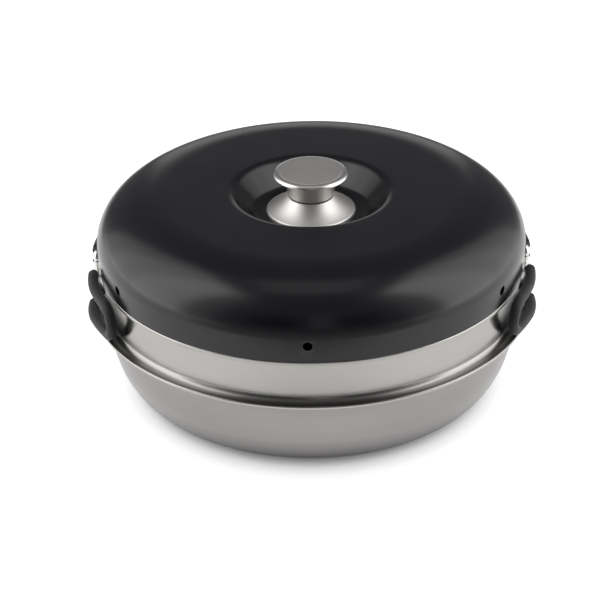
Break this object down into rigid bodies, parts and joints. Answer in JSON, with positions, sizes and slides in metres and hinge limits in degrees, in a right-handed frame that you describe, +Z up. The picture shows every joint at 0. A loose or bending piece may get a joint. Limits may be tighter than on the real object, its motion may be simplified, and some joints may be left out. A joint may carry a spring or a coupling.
{
  "type": "folding camp oven",
  "caption": "Round stacking camp oven: base dish, carrier ring with folding handles, chimney baking pan and domed lid with a knob.",
  "frame": {"origin": "middle of the base dish's flat underside, on the surface it stands on", "axes": "+Z up along the oven's axis; handles at +X and -X; -Y is the front"},
  "size_m": [0.2884, 0.2832, 0.1449],
  "materials": {
    "dish_steel": "satin brushed round the axis",
    "ring_steel": "satin brushed round the axis",
    "lid_coating": "satin black coating",
    "knob_steel": "satin turned",
    "seal_rubber": "matte",
    "sleeve_silicone": "matte silicone",
    "wire_steel": "drawn wire",
    "bracket_steel": "pressed, satin",
    "fastener_steel": "bright",
    "pan_aluminium": "dark non-stick coating on aluminium"
  },
  "bodies": {
    "base": {"base_dish": "dish_steel"},
    "ring": {"carrier_ring": "ring_steel", "bracket_left": "bracket_steel", "bracket_right": "bracket_steel", "rivets_left": "fastener_steel", "rivets_right": "fastener_steel"},
    "pan": {"baking_pan": "pan_aluminium"},
    "lid": {"lid_shell": "lid_coating", "knob_bell": "knob_steel", "knob_seal": "seal_rubber", "knob": "knob_steel", "knob_screw": "fastener_steel", "knob_washer": "fastener_steel"},
    "wing_right_rear": {"wire_right_rear": "wire_steel", "sleeve_right_rear": "sleeve_silicone"},
    "wing_right_front": {"wire_right_front": "wire_steel", "sleeve_right_front": "sleeve_silicone"},
    "wing_left_rear": {"wire_left_rear": "wire_steel", "sleeve_left_rear": "sleeve_silicone"},
    "wing_left_front": {"wire_left_front": "wire_steel", "sleeve_left_front": "sleeve_silicone"}
  },
  "joints": [
    {"name": "ring_lift", "type": "slide", "parent": "base", "child": "ring", "axis": [0, 0, 1], "range_m": [0, 0.08]},
    {"name": "pan_lift", "type": "slide", "parent": "ring", "child": "pan", "axis": [0, 0, 1], "range_m": [0, 0.09]},
    {"name": "lid_lift", "type": "slide", "parent": "pan", "child": "lid", "axis": [0, 0, 1], "range_m": [0, 0.08]},
    {"name": "wing_right_rear_fold", "type": "hinge", "parent": "ring", "child": "wing_right_rear", "pos_m": [0.1398, 0.011, 0.0709], "axis": [0, 0, -1], "range_deg": [0, 100]},
    {"name": "wing_right_front_fold", "type": "hinge", "parent": "ring", "child": "wing_right_front", "pos_m": [0.1398, -0.011, 0.0709], "axis": [0, 0, 1], "range_deg": [0, 100]},
    {"name": "wing_left_rear_fold", "type": "hinge", "parent": "ring", "child": "wing_left_rear", "pos_m": [-0.1398, 0.011, 0.0709], "axis": [0, 0, 1], "range_deg": [0, 100]},
    {"name": "wing_left_front_fold", "type": "hinge", "parent": "ring", "child": "wing_left_front", "pos_m": [-0.1398, -0.011, 0.0709], "axis": [0, 0, -1], "range_deg": [0, 100]}
  ]
}
